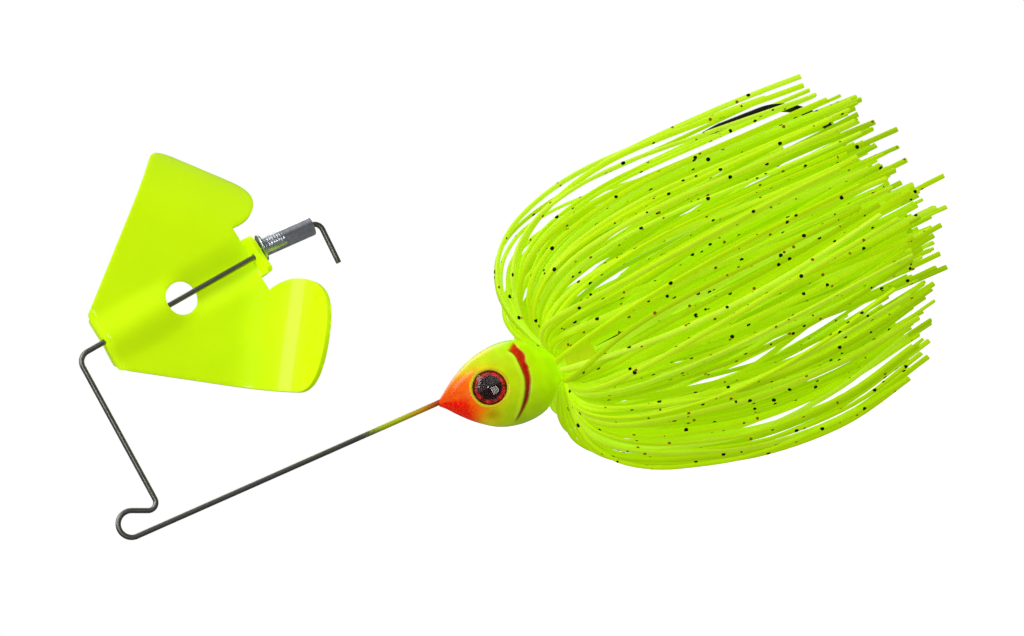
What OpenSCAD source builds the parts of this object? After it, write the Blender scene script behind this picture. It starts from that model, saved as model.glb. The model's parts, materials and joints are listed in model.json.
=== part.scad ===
// Buzz-blade spinnerbait: a bent wire frame with a cast head and hook on its lower arm, a silicone
// skirt behind the head, and a rolled delta blade that spins on the upper arm ahead of a tube rivet.
// X runs from the line tie to the tail, parallel to the hook shank. Z is up, from the hook shank to
// the blade, and Y to the lure's right side. The origin is the centre of the line tie's bend, and the
// wire lies in the plane Y = 0.

/* [Wire frame] */
// Diameter of the frame wire
wire_d = 0.9; // [0.8:0.05:1]
// Radius of the line tie's bend, at the wire's centre
tie_r = 2.2; // [2.1:0.05:2.4]
// Slope of the lower arm below the hook shank's direction, in degrees
arm_slope = 2.2; // [2:0.1:2.5]
// Lean of the front arm away from the tail, in degrees
front_lean = 2.6; // [2:0.1:3.5]
// Height of the axle above the line tie, where the front arm meets it
axle_rise = 28.5; // [28:0.1:29.5]
// Slope of the axle up towards the tail, in degrees
axle_tilt = 4; // [3.5:0.1:4.5]
// Distance along X from the line tie to the turned-down end of the axle
tail_x = 50.4; // [50.4:0.1:51.5]
// Length of the turned-down end
tail_drop = 7.8; // [5:0.1:9]

/* [Blade] */
// Thickness of the blade sheet
sheet = 0.8; // [0.7:0.05:0.9]
// Half the width of the blade's front edge
nose_half = 5.1; // [4.5:0.1:5.5]
// Angle of each leading edge to the axle, in degrees
sweep = 38; // [36:0.5:40]
// Radius of each wing's roll, on the face away from the curl
roll_r = 13.6; // [13.4:0.2:15]
// Half the width of each wing, which is also the radius of its round end
wing_half = 9.5; // [8.5:0.1:10]
// Radius of the centre hole
hole_r = 2.8; // [2.5:0.1:3]

/* [Rivet] */
// Outer radius of the rivet's tube
rivet_r = 1.6; // [1.55:0.05:1.7]
// Overall length of the rivet
rivet_l = 9.6; // [9:0.1:9.6]
// Tilt of the loose rivet on the wire, in degrees
rivet_tilt = 5.5; // [0:0.5:5.5]

/* [Head and hook] */
// Height of the hook shank's axis, below the line tie
shank_drop = 7.2; // [7:0.1:7.4]
// Diameter of the hook wire
hook_d = 1.5; // [1.4:0.05:1.6]
// Gap of the hook, between the centres of shank and point
hook_gap = 23.4; // [22:0.2:24]
// Half the thickness of the head at its widest
head_half = 4.8; // [4.6:0.1:5]
// Diameter of each eye
eye_d = 6; // [5.5:0.1:6.2]

/* [Skirt] */
// Number of strand bundles on each side of the hook
bundles_per_side = 6; // [4:1:6]
// Radius of the skirt at its widest, above the hook shank
skirt_r = 28.5; // [26:0.5:29]
// Width of the skirt across the hook's plane, as a share of its height
skirt_flat = 0.72; // [0.65:0.01:0.8]
// Outer radius of the rubber collar
collar_r = 5; // [4.8:0.1:5.4]

/* [Hidden] */
$fn = 48;
// Longer than any half of the lure, for cutting shapes
reach = 60;

wire_r = wire_d / 2;
// Lap of a straight bar into the bend beside it, and how much fatter the bend is
lap = 0.06;
swell = 0.01;
// A point on the front arm, just above the line tie's neck
arm_foot = [5.2, 3.5];
tie_run_slope = 26;
tie_corner_r = 1.3;
front_corner_r = 1.9;
tail_corner_r = 1.5;
// Wire end inside the head, turned down through the hook's eye
anchor_x = 66.4;
anchor_drop = 5.2;
anchor_corner_r = 1.2;

// Blade, along the axle from its hole's centre
blade_x = 23.9;
nose_s = -15;
stern_s = 14;
wing_v = -3.75;
wing_round_u = 19.8;
// How much further the round end starts along the leading edge
lead_full = 2.5;
notch_t = 5.4;
channel_in = 1.3;
channel_out = channel_in + sheet;
tab_s = 14.9;
rear_tab_half = 3.6;
rear_tab_rise = 3.4;
front_tab_half = 4.4;
front_tab_drop = 3.2;
bore_r = wire_r + 0.12;
roll_start = 9.6;

// Rivet
rivet_bore = 1.3;
flange_r = 2.4;
flange_t = 0.5;
rivet_gap = 0.75;
rivet_lift = 0.25;

// Hook
hook_r = hook_d / 2;
hook_eye_r = 1.35;
bend_x = 127.3;
point_reach = 12.5;
point_flare = 4;
point_taper = 4.5;
point_r = 0.12;
barb_back = 5.6;
barb_t = 0.5;
// The barb from the side, with its root along the point's middle
barb_shape = [[-3.4, 0], [0.9, -1.35], [0.2, 0]];

// Head
cheek = [68.5, -6.7];
cheek_size = [6.3, head_half, 7];
brow = [62.8, -6.2];
brow_size = [4.8, head_half * 0.75, 5.9];
nose = [56.9, -4.7];
nose_size = [1.1, 1, 1.1];
neck_start = 67.6;
neck_r = 3.05;
neck_end = 83.2;
eye_pos = [63.5, -5.8];
eye_sink = 3.2;
eye_tilt = 14;
foil_t = 0.5;
lens_rise = 1.15;

// Collar and skirt
collar_x = [76.9, 82.4];
strand_t = 0.8;
// Width of a bundle in the collar, and how much wider it is per distance from the hook's shank
bundle_w = 1.4;
bundle_spread = 0.26;
collar_bore = neck_r + strand_t + 0.2;
strand_rho = neck_r + 0.1 + strand_t / 2;
// A bundle's rear half, and its folded half above and below the hook, as distance along X and
// distance from the shank's axis
rear_half = [[147.5, 15.6], [128, 14.6], [108, 12], [94, 8], [86.5, 4.8], [82.2, strand_rho]];
fold_above = [[77.4, strand_rho], [75.6, 4.5], [74.7, 8], [74.3, 12], [75.2, 17.5], [79, 23],
              [86, 26.6], [98, skirt_r], [116, skirt_r - 0.6], [136, skirt_r - 1.6]];
fold_below = [[77.4, strand_rho], [75.8, 4.5], [75.2, 8], [75, 12], [76.4, 16.4], [80.5, 21],
              [88.5, 26], [102, skirt_r + 2.6], [118, skirt_r + 3.8], [133, skirt_r + 1]];
first_angle = 22;
last_angle = 165;

// Parts drawn in the XZ plane

// A straight round bar from a to b in the plane Y = 0, with a short lap into the bend at each end
module bar(a, b, r) {
  d = (b - a) / norm(b - a);
  start = a - d * lap;
  translate([start[0], 0, start[1]])
    rotate([0, atan2(d[0], d[1]), 0])
      cylinder(r = r, h = norm(b - a) + 2 * lap);
}

// A round bar bent about centre c, from angle a0 through turn degrees, in the plane Y = 0.
// The bend is swollen by a hair, so that the bars' laps end inside it.
module bend(c, bend_r, a0, turn, r) {
  translate([c[0], 0, c[1]])
    rotate([90, 0, 0])
      rotate([0, 0, turn > 0 ? a0 : a0 + turn])
        rotate_extrude(angle = abs(turn))
          translate([bend_r, 0])
            circle(r = r + swell);
}

function ray(angle) = [cos(angle), sin(angle)];
function cross2(a, b) = a[0] * b[1] - a[1] * b[0];
// Where the line through p along d meets the line through q along e
function meet(p, d, q, e) = p + d * cross2(q - p, e) / cross2(d, e);

// A bent corner at p between directions a_in and a_out, with its two tangent lengths left out
module corner(p, a_in, a_out, bend_r, r) {
  turn = a_out - a_in;
  side = turn > 0 ? 1 : -1;
  centre = p - ray(a_in) * bend_r * tan(abs(turn) / 2) + ray(a_in + 90 * side) * bend_r;
  bend(centre, bend_r, a_in - 90 * side, turn, r);
}

function cut_back(a_in, a_out, bend_r) = bend_r * tan(abs(a_out - a_in) / 2);

// Directions of the wire's straight runs, going from the tail end to the head
run_tail = 90;
run_axle = 180 + axle_tilt;
run_front = 270 + front_lean;
run_tie = 180 - tie_run_slope;
run_lower = 360 - arm_slope;

axle_p = [arm_foot[0] - (axle_rise - arm_foot[1]) * tan(front_lean), axle_rise];
tail_p = meet(axle_p, ray(axle_tilt), [tail_x, 0], ray(90));
tie_top = ray(90 - tie_run_slope) * tie_r;
foot_p = meet(tie_top, ray(run_tie), axle_p, ray(run_front));
tie_low = ray(270 - arm_slope) * tie_r;
anchor_p = meet(tie_low, ray(-arm_slope), [anchor_x, 0], ray(90));

module wire_path(r) {
  tail_cut = cut_back(90, run_axle, tail_corner_r);
  front_cut = cut_back(run_axle, run_front, front_corner_r);
  foot_cut = cut_back(run_front, run_tie, tie_corner_r);
  anchor_cut = cut_back(-arm_slope, -90, anchor_corner_r);
  bar(tail_p - [0, tail_drop], tail_p - [0, tail_cut], r);
  corner(tail_p, run_tail, run_axle, tail_corner_r, r);
  bar(tail_p + ray(run_axle) * tail_cut, axle_p - ray(run_axle) * front_cut, r);
  corner(axle_p, run_axle, run_front, front_corner_r, r);
  bar(axle_p + ray(run_front) * front_cut, foot_p - ray(run_front) * foot_cut, r);
  corner(foot_p, run_front, run_tie, tie_corner_r, r);
  bar(foot_p + ray(run_tie) * foot_cut, tie_top, r);
  bend([0, 0], tie_r, 90 - tie_run_slope, 180 + tie_run_slope - arm_slope, r);
  bar(tie_low, anchor_p - ray(-arm_slope) * anchor_cut, r);
  corner(anchor_p, -arm_slope, -90, anchor_corner_r, r);
  bar(anchor_p - [0, anchor_cut], anchor_p - [0, anchor_drop], r);
}

module wire_frame() {
  color("dimgray")
    wire_path(wire_r);
}

// Blade: X along the axle, Z across the blade, and the curl along Y

module on_axle(s) {
  blade_z = axle_rise + (blade_x - axle_p[0]) * tan(axle_tilt);
  translate([blade_x, 0, blade_z])
    rotate([0, -axle_tilt, 0])
      translate([s, 0, 0])
        children();
}

// Where a distance along the flat sheet comes out along the wing, seen square to its flat part
function rolled(u) =
  u < roll_start ? u : roll_start + roll_r * sin((u - roll_start) / roll_r * 180 / PI);

// Distance along the flat sheet of the wing's round end, which is blunter at the leading edge
function round_u(a) =
  wing_round_u + (a < 0 ? lead_full + (wing_half - lead_full) * cos(a) : wing_half * cos(a));

// Outline of the lower wing seen square to the flat part, in distances along and across its roll
module wing_outline() {
  difference() {
    polygon(concat(
      [[-reach, wing_v + wing_half], [-reach, wing_v - wing_half]],
      [for (a = [-90 : 10 : 90]) [rolled(round_u(a)), wing_v + wing_half * sin(a)]]));
    // The nose, the stern between the wings, and the upper half
    rotate(sweep) {
      translate([nose_s - reach, -reach])
        square([reach, 2 * reach]);
      translate([stern_s, -notch_t])
        square([reach, reach]);
      translate([-reach, 0])
        square([2 * reach, reach]);
    }
  }
}

// Section of the rolled sheet, flat and then curling towards -Y
module roll_section() {
  translate([-reach, -sheet / 2])
    square([reach + roll_start, sheet]);
  translate([roll_start, -roll_r])
    intersection() {
      difference() {
        circle(r = roll_r + sheet / 2, $fn = 96);
        circle(r = roll_r - sheet / 2, $fn = 96);
      }
      square(2 * roll_r);
    }
}

module wing() {
  rotate([0, sweep, 0])
    intersection() {
      translate([0, 0, -reach])
        linear_extrude(2 * reach)
          roll_section();
      rotate([90, 0, 0])
        translate([0, 0, -reach])
          linear_extrude(2 * reach)
            wing_outline();
    }
}

// Half of a tube along the axle from s0 to s1, on the side of Y given by facing
module channel(s0, s1, facing) {
  translate([s0, 0, 0])
    rotate([0, 90, 0])
      intersection() {
        difference() {
          cylinder(r = channel_out, h = s1 - s0);
          translate([0, 0, -1])
            cylinder(r = channel_in, h = s1 - s0 + 2);
        }
        translate([-reach, facing > 0 ? 0 : -reach, -1])
          cube([2 * reach, reach, s1 - s0 + 2]);
      }
}

module buzz_blade() {
  color("greenyellow")
    on_axle(0)
      difference() {
        union() {
          difference() {
            union() {
              wing();
              rotate([180, 0, 0])
                wing();
            }
            translate([nose_s - 1, -sheet, -channel_in])
              cube([stern_s - nose_s + 2, 2 * sheet, 2 * channel_in]);
          }
          channel(nose_s, 0, -1);
          channel(0, tab_s, 1);
          translate([nose_s, -channel_out, -front_tab_half])
            cube([sheet, channel_out + front_tab_drop, 2 * front_tab_half]);
          translate([tab_s - sheet, -rear_tab_rise, -rear_tab_half])
            cube([sheet, channel_out + rear_tab_rise, 2 * rear_tab_half]);
          translate([stern_s - sheet, -sheet / 2, -rear_tab_half])
            cube([tab_s - stern_s + sheet, sheet, 2 * rear_tab_half]);
        }
        rotate([90, 0, 0])
          cylinder(r = hole_r, h = reach, center = true);
        translate([nose_s - 1, 0, 0])
          rotate([0, 90, 0])
            cylinder(r = bore_r, h = tab_s - nose_s + 2);
      }
}

module rivet() {
  color("silver")
    on_axle(tab_s + rivet_gap + rivet_l / 2)
      translate([0, 0, rivet_lift])
        rotate([0, 90 + rivet_tilt, 0])
          translate([0, 0, -rivet_l / 2])
            difference() {
              union() {
                cylinder(r = flange_r, h = flange_t);
                cylinder(r = rivet_r, h = rivet_l);
              }
              translate([0, 0, -1])
                cylinder(r = rivet_bore, h = rivet_l + 2);
            }
}

// Hook, with its eye cast into the head

shank_p = [anchor_x + hook_eye_r + hook_r, -shank_drop];
bend_p = [bend_x, -shank_drop];
bend_c = bend_p + [0, hook_gap / 2];
point_dir = 180 - point_flare;

module hook_path(r) {
  point_start = bend_c + ray(90 - point_flare) * hook_gap / 2;
  taper_start = point_start + ray(point_dir) * (point_reach - point_taper);
  translate([anchor_x, 0, -shank_drop])
    rotate_extrude()
      translate([hook_eye_r, 0])
        circle(r = r + swell);
  bar(shank_p - [hook_r, 0], bend_p, r);
  bend(bend_c, hook_gap / 2, -90, 180 - point_flare, r);
  bar(point_start, taper_start, r);
  translate([taper_start[0], 0, taper_start[1]])
    rotate([0, -90 + point_flare, 0])
      cylinder(r1 = r - swell, r2 = point_r, h = point_taper);
}

// The barb is a thin wedge lifted from the wire's inner side
module barb() {
  tip = bend_c + ray(90 - point_flare) * hook_gap / 2 + ray(point_dir) * point_reach;
  root = tip - ray(point_dir) * barb_back;
  translate([root[0], barb_t / 2, root[1]])
    rotate([90, 0, 0])
      rotate(-point_flare)
        linear_extrude(barb_t)
          polygon(barb_shape);
}

module hook() {
  color("black") {
    hook_path(hook_r);
    barb();
  }
}

// Head: a rounded fish-like casting with a neck behind it for the skirt

module egg(place, size) {
  translate([place[0], 0, place[1]])
    scale(size)
      sphere(r = 1, $fn = 36);
}

module head() {
  color("yellowgreen")
    difference() {
      union() {
        hull() {
          egg(cheek, cheek_size);
          egg(brow, brow_size);
          egg(nose, nose_size);
        }
        translate([neck_start, 0, -shank_drop])
          rotate([0, 90, 0])
            cylinder(r = neck_r, h = neck_end - neck_start);
      }
      wire_path(wire_r);
      hook_path(hook_r);
      for (side = [-1, 1])
        at_eye(side)
          cylinder(r = eye_d / 2, h = head_half);
    }
}

// Eyes: a printed foil disc under a clear dome, on each side of the head

module at_eye(side) {
  translate([eye_pos[0], side * eye_sink, eye_pos[1]])
    rotate([0, 0, side * eye_tilt])
      rotate([-90 * side, 0, 0])
        children();
}

module eye_foil(side) {
  color("crimson")
    at_eye(side)
      cylinder(r = eye_d / 2, h = foil_t);
}

module eye_lens(side) {
  dome_r = (pow(eye_d / 2, 2) + pow(lens_rise, 2)) / (2 * lens_rise);
  color("darkred", 0.5)
    at_eye(side)
      translate([0, 0, foil_t])
        rotate_extrude()
          intersection() {
            translate([0, lens_rise - dome_r])
              circle(r = dome_r, $fn = 96);
            square([eye_d / 2, lens_rise]);
          }
}

// Skirt

module skirt_collar() {
  color("olive")
    translate([collar_x[0], 0, -shank_drop])
      rotate([0, 90, 0])
        difference() {
          cylinder(r = collar_r, h = collar_x[1] - collar_x[0]);
          translate([0, 0, -1])
            cylinder(r = collar_bore, h = collar_x[1] - collar_x[0] + 2);
        }
}

function spline(a, b, c, d, t) =
  0.5 * (2 * b + (c - a) * t + (2 * a - 5 * b + 4 * c - d) * t * t + (3 * b - a - 3 * c + d) * t * t * t);

// Points of a smooth curve through p, with two steps between each pair
function smooth(p) = concat(
  [for (i = [0 : len(p) - 2]) for (t = [0, 0.5])
    spline(p[max(i - 1, 0)], p[i], p[i + 1], p[min(i + 2, len(p) - 1)], t)],
  [p[len(p) - 1]]);

// How far a bundle at this angle from the top stands out, beside one at the top
function reach_at(angle) = 1 / norm([cos(angle), sin(angle) / skirt_flat]);

// A bundle of strands, from its rear tip through the collar and back over to its folded tip
module skirt_bundle(angle) {
  low = (1 - cos(angle)) / 2;
  plain = smooth(concat(rear_half, fold_above * (1 - low) + fold_below * low));
  path = [for (p = plain) [p[0], strand_rho + (p[1] - strand_rho) * reach_at(angle)]];
  last = len(path) - 1;
  corners = [[-1, -1], [-1, 1], [1, 1], [1, -1]];
  points = [for (i = [0 : last])
    let (d = path[min(i + 1, last)] - path[max(i - 1, 0)],
         normal = [-d[1], d[0]] / norm(d),
         half_w = (bundle_w + (path[i][1] - strand_rho) * bundle_spread) / 2)
    for (c = corners)
      let (q = path[i] + normal * c[0] * strand_t / 2)
      [q[0],
       q[1] * sin(angle) + c[1] * half_w * cos(angle),
       q[1] * cos(angle) - c[1] * half_w * sin(angle) - shank_drop]];
  faces = concat(
    [[3, 2, 1, 0]],
    [for (i = [0 : last - 1]) for (j = [0 : 3])
      each [[4 * i + j, 4 * i + (j + 1) % 4, 4 * i + 4 + (j + 1) % 4],
            [4 * i + j, 4 * i + 4 + (j + 1) % 4, 4 * i + 4 + j]]],
    [[4 * last, 4 * last + 1, 4 * last + 2, 4 * last + 3]]);
  color("chartreuse")
    polyhedron(points, faces);
}

function bundle_angle(i) = first_angle + (last_angle - first_angle) * (i - 1) / (bundles_per_side - 1);

wire_frame();
buzz_blade();
rivet();
hook();
head();
skirt_collar();
eye_foil(-1);  // eye_foil_left
eye_foil(1);  // eye_foil_right
eye_lens(-1);  // eye_lens_left
eye_lens(1);  // eye_lens_right
for (i = [1 : bundles_per_side]) {
  skirt_bundle(-bundle_angle(i));
  skirt_bundle(bundle_angle(i));
}
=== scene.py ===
"""Looks of the buzz-blade spinnerbait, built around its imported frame.

Lengths are in millimetres in the part's own frame until a mesh is made, and metres after that.
X runs from the line tie to the tail, Z up to the blade and Y to the lure's right side.
"""

import json
import math
import random

import bmesh
import bpy
import numpy as np
from mathutils import Matrix, Vector, geometry


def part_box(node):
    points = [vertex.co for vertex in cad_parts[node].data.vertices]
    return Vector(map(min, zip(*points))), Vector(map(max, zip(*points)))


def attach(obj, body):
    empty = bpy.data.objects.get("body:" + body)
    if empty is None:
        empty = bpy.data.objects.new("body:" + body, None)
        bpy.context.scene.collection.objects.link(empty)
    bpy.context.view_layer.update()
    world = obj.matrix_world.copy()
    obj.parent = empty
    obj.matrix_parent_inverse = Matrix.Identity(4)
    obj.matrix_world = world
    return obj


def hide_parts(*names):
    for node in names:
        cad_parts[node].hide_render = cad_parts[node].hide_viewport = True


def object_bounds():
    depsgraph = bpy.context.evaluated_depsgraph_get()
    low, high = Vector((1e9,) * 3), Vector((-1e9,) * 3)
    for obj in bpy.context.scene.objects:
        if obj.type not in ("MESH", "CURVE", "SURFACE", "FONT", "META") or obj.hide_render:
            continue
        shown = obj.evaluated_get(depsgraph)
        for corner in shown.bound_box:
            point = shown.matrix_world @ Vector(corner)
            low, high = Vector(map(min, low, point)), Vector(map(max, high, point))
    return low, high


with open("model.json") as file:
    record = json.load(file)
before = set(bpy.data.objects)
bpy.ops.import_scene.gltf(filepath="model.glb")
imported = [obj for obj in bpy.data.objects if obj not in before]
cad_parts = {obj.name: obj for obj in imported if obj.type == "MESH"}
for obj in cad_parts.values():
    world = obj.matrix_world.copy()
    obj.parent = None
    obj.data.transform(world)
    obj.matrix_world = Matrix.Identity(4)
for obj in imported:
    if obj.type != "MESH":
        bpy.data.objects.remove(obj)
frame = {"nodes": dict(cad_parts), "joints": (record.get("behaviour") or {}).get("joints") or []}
cad_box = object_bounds()

MM = 0.001
SIDES = {"left": -1, "right": 1}
JOINTS = {joint["name"]: joint for joint in frame["joints"]}
BAR_SIDES = 24
LATHE_SIDES = 64

# Wire frame
WIRE_R = 0.45
TIE_R = 2.2
ARM_SLOPE = 2.2
FRONT_LEAN = 2.6
AXLE_RISE = 28.5
AXLE_TILT = 4.0
TAIL_X = 50.4
TAIL_DROP = 7.8
ARM_FOOT = np.array([5.2, 3.5])
TIE_RUN_SLOPE = 26.0
TIE_CORNER_R = 1.3
FRONT_CORNER_R = 1.9
TAIL_CORNER_R = 1.5
ANCHOR_X = 66.4
ANCHOR_DROP = 5.2
ANCHOR_CORNER_R = 1.2

# Blade, in distances along the axle and across it from the middle of its hole
SHEET = 0.8
FOLD_R = 0.8
NOSE_S = -15.0
STERN_S = 13.8
SWEEP = math.radians(38)
ROLL_R = 13.6
ROLL_START = 9.6
WING_HALF = 9.5
WING_V = -3.75
WING_ROUND_U = 19.8
LEAD_FULL = 2.5
NOTCH_T = 6.1
HOLE_R = 2.8
WIRE_HOLE_R = 0.6
RIDGE_H = 1.25
RIDGE_HALF = 5.0
FRONT_TAB_HALF = 4.4
FRONT_TAB_Y = 3.2
REAR_TAB_HALF = 3.5
REAR_TAB_Y = 3.4
REAR_TAB_TURN = math.radians(75)
TAB_CORNER_R = 1.3

# Rivet
RIVET_R = 1.6
RIVET_BORE = 1.3
RIVET_L = 9.6
RIVET_TILT = 5.5
RIVET_FROM = 15.65
RIVET_LIFT = 0.25
FLANGE_R = 2.4
FLANGE_T = 0.5

# Hook and head
SHANK_Z = -7.2
COLLAR_BORE = 4.05
HOOK_R = 0.75
HOOK_GAP = 23.4
BEND_X = 127.3
POINT_FLARE = 4.0
POINT_REACH = 12.5
POINT_TAPER = 5.5
EYE_R = 3.0
EYE_TILT = math.radians(14)

# Skirt. A strand runs from its rear tip through the collar, and folds back over it to its other tip.
# Its lines are given as X and distance from the shank's axis. Angles go round the shank from the top.
STRANDS_PER_BUNDLE = 16
BUNDLES_PER_SIDE = 6
FIRST_ANGLE = 22.0
LAST_ANGLE = 165.0
STRAND_RHO = 3.55
SKIRT_FLAT = 0.72
SIDE_TRAIL = -0.02
ROOT_X = 77.4
STRAY_SHARE = 0.09
CLUMP = 4
TAIL_LIMIT_X = 151.0
# How much shorter the rear halves are at the top than at the bottom
TOP_SHORTER = 5.0
# The parting on each side that shows the collar, and the share of strands that it turns aside
PARTING_ANGLE = 92.0
PARTING_TURN = 21.0
PARTING_SHARE = 0.8
# Half a strand's width and thickness at the collar, and what it gains where it stands free
ROOT_HALF_W = 0.3
GAINED_HALF_W = 0.16
ROOT_HALF_T = 0.22
GAINED_HALF_T = 0.08
REAR_HALF = [(147.5, 15.6), (128, 14.6), (108, 12), (94, 8), (86.5, 4.8), (82.2, 3.55)]
FOLD_ABOVE = [(77.4, 3.55), (75.6, 4.5), (74.7, 8), (74.3, 12), (75.2, 17.5),
              (79, 23), (86, 26.6), (98, 28.5), (116, 27.9), (136, 26.9)]
FOLD_BELOW = [(77.4, 3.55), (75.8, 4.5), (75.2, 8), (75, 12), (76.4, 16.4),
              (80.5, 21), (88.5, 26), (102, 31.1), (118, 32.3), (133, 29.5)]


# ---------------------------------------------------------------- shapes

def smoothstep(low, high, x):
    """From 0 at low to 1 at high, easing at both ends."""
    t = np.clip((np.asarray(x, float) - low) / (high - low), 0, 1)
    return t * t * (3 - 2 * t)


def ray(degrees):
    """The unit vector at an angle in a plane."""
    return np.array([math.cos(math.radians(degrees)), math.sin(math.radians(degrees))])


def cross2(a, b):
    return a[0] * b[1] - a[1] * b[0]


def meet(p, d, q, e):
    """Where the line through p along d meets the line through q along e."""
    return p + d * cross2(q - p, e) / cross2(d, e)


def arc(centre, radius, start, end, steps):
    """Points of a circular arc, with its angles in degrees."""
    return [centre + radius * ray(a) for a in np.linspace(start, end, steps)]


def fillet(before, corner, after, radius, steps=10):
    """Points of an arc that rounds the corner of a line."""
    d_in = (corner - before) / np.linalg.norm(corner - before)
    d_out = (after - corner) / np.linalg.norm(after - corner)
    turn = math.atan2(cross2(d_in, d_out), float(d_in @ d_out))
    side = math.copysign(1, turn)
    start = corner - d_in * radius * math.tan(abs(turn) / 2)
    centre = start + side * radius * np.array([-d_in[1], d_in[0]])
    a0 = math.degrees(math.atan2(*(start - centre)[::-1]))
    return arc(centre, radius, a0, a0 + math.degrees(turn), steps)


def subdivided(points, step):
    """The same line with a point at least every step."""
    out = [points[0]]
    for a, b in zip(points, points[1:]):
        count = max(1, math.ceil(np.linalg.norm(b - a) / step))
        out += [a + (b - a) * i / count for i in range(1, count + 1)]
    return np.array(out)


def spline(points, steps):
    """A Catmull-Rom curve through the points."""
    p = np.array(points, float)
    p = np.vstack([2 * p[0] - p[1], p, 2 * p[-1] - p[-2]])
    t = (np.arange(steps) / steps)[:, None]
    out = []
    for a, b, c, d in zip(p, p[1:], p[2:], p[3:]):
        out.append(0.5 * (2 * b + (c - a) * t + (2 * a - 5 * b + 4 * c - d) * t * t
                          + (3 * b - a - 3 * c + d) * t ** 3))
    return np.vstack(out + [p[-2][None]])


def loft(rings):
    """Vertices and faces of a closed skin over rings of points, with flat ends."""
    count, sides = rings.shape[:2]
    faces = [list(range(sides))[::-1]]
    for i in range(count - 1):
        for j in range(sides):
            k = (j + 1) % sides
            faces.append([i * sides + j, i * sides + k, (i + 1) * sides + k, (i + 1) * sides + j])
    faces.append([(count - 1) * sides + j for j in range(sides)])
    return rings.reshape(-1, 3), faces


def plane_sweep(line, radii, sides=BAR_SIDES):
    """Rings around a line in the plane Y = 0, which is given as X and Z."""
    line = np.asarray(line, float)
    along = np.gradient(line, axis=0)
    along /= np.linalg.norm(along, axis=1)[:, None]
    out = np.stack([-along[:, 1], np.zeros(len(line)), along[:, 0]], axis=1)
    angles = np.arange(sides) * 2 * math.pi / sides
    centre = np.stack([line[:, 0], np.zeros(len(line)), line[:, 1]], axis=1)
    across = np.array([0, 1, 0])
    rings = (centre[:, None, :]
             + np.asarray(radii)[:, None, None]
             * (np.cos(angles)[None, :, None] * out[:, None, :]
                + np.sin(angles)[None, :, None] * across[None, None, :]))
    return rings


def rounded_ends(line, radius, bevel):
    """A line and its radii, with a small bevel worked into each end."""
    d0 = (line[1] - line[0]) / np.linalg.norm(line[1] - line[0])
    d1 = (line[-1] - line[-2]) / np.linalg.norm(line[-1] - line[-2])
    middle = [line[0] + d0 * bevel, *line[1:-1], line[-1] - d1 * bevel]
    line = np.array([line[0], line[0] + d0 * bevel * 0.3, *middle, line[-1] - d1 * bevel * 0.3, line[-1]])
    radii = np.full(len(line), radius)
    radii[[0, -1]] = radius - bevel
    radii[[1, -2]] = radius - bevel * 0.3
    return line, radii


def lathe(profile, origin, axis, sides=LATHE_SIDES):
    """Rings of a ring-shaped body: a closed profile of (distance along, radius) about an axis."""
    axis = Vector(axis).normalized()
    side = axis.orthogonal().normalized()
    other = axis.cross(side)
    angles = np.arange(sides) * 2 * math.pi / sides
    axis, side, other = (np.array(v) for v in (axis, side, other))
    rings = []
    for s, r in profile:
        rings.append(np.array(origin) + s * axis
                     + r * (np.cos(angles)[:, None] * side + np.sin(angles)[:, None] * other))
    rings = np.array(rings)
    count = len(rings)
    faces = [[i * sides + j, i * sides + (j + 1) % sides,
              ((i + 1) % count) * sides + (j + 1) % sides, ((i + 1) % count) * sides + j]
             for i in range(count) for j in range(sides)]
    return rings.reshape(-1, 3), faces


def piece(name, verts, faces, material, body, nodes=(), attributes=None):
    """Makes a mesh object from millimetres, and puts it on its body in the frame."""
    mesh = bpy.data.meshes.new(name)
    mesh.from_pydata((np.asarray(verts) * MM).tolist(), [], faces)
    for key, values in (attributes or {}).items():
        values = np.asarray(values, np.float32)
        if values.ndim == 2:
            layer = mesh.attributes.new(key, "FLOAT_COLOR", "POINT")
            layer.data.foreach_set("color", values.ravel())
        else:
            layer = mesh.attributes.new(key, "FLOAT", "POINT")
            layer.data.foreach_set("value", values)
    work = bmesh.new()
    work.from_mesh(mesh)
    bmesh.ops.recalc_face_normals(work, faces=work.faces)
    for face in work.faces:
        face.smooth = True
    work.to_mesh(mesh)
    work.free()
    mesh.materials.append(material)
    made = bpy.data.objects.new(name, mesh)
    bpy.context.scene.collection.objects.link(made)
    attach(made, body)
    if nodes:
        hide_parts(*nodes)
    return made


def sharpen(made, degrees):
    """Keeps the creases that are sharper than an angle."""
    made.data.set_sharp_from_angle(angle=math.radians(degrees))


# ---------------------------------------------------------------- materials

def linear(r, g, b):
    """A colour given from 0 to 255 in sRGB, as linear values with alpha."""
    channels = [c / 255 for c in (r, g, b)]
    return (*[c / 12.92 if c <= 0.04045 else ((c + 0.055) / 1.055) ** 2.4 for c in channels], 1.0)


CHARTREUSE = linear(204, 246, 6)
# Deepest strand colour, used both for random dark strands and for painted shade on the inner layers.
DEEP_AND_SHADED_CHARTREUSE = linear(172, 214, 4)
PALE_CHARTREUSE = linear(214, 255, 56)


def material(name, **sockets):
    """A new material with its shader's plain values set."""
    made = bpy.data.materials.new(name)
    made.use_nodes = True
    shader = made.node_tree.nodes["Principled BSDF"]
    for key, value in sockets.items():
        shader.inputs[key.replace("_", " ")].default_value = value
    return made, made.node_tree, shader


def add(tree, kind, inputs=None, **settings):
    """A new shader node. Its inputs are plain values or other nodes' outputs."""
    made = tree.nodes.new("ShaderNode" + kind)
    for key, value in settings.items():
        setattr(made, key, value)
    for key, value in (inputs or {}).items():
        if isinstance(value, bpy.types.NodeSocket):
            tree.links.new(value, made.inputs[key])
        else:
            made.inputs[key].default_value = value
    return made


def math_node(tree, operation, a, b=0.0, clamp=False):
    return add(tree, "Math", {0: a, 1: b}, operation=operation, use_clamp=clamp).outputs[0]


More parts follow.
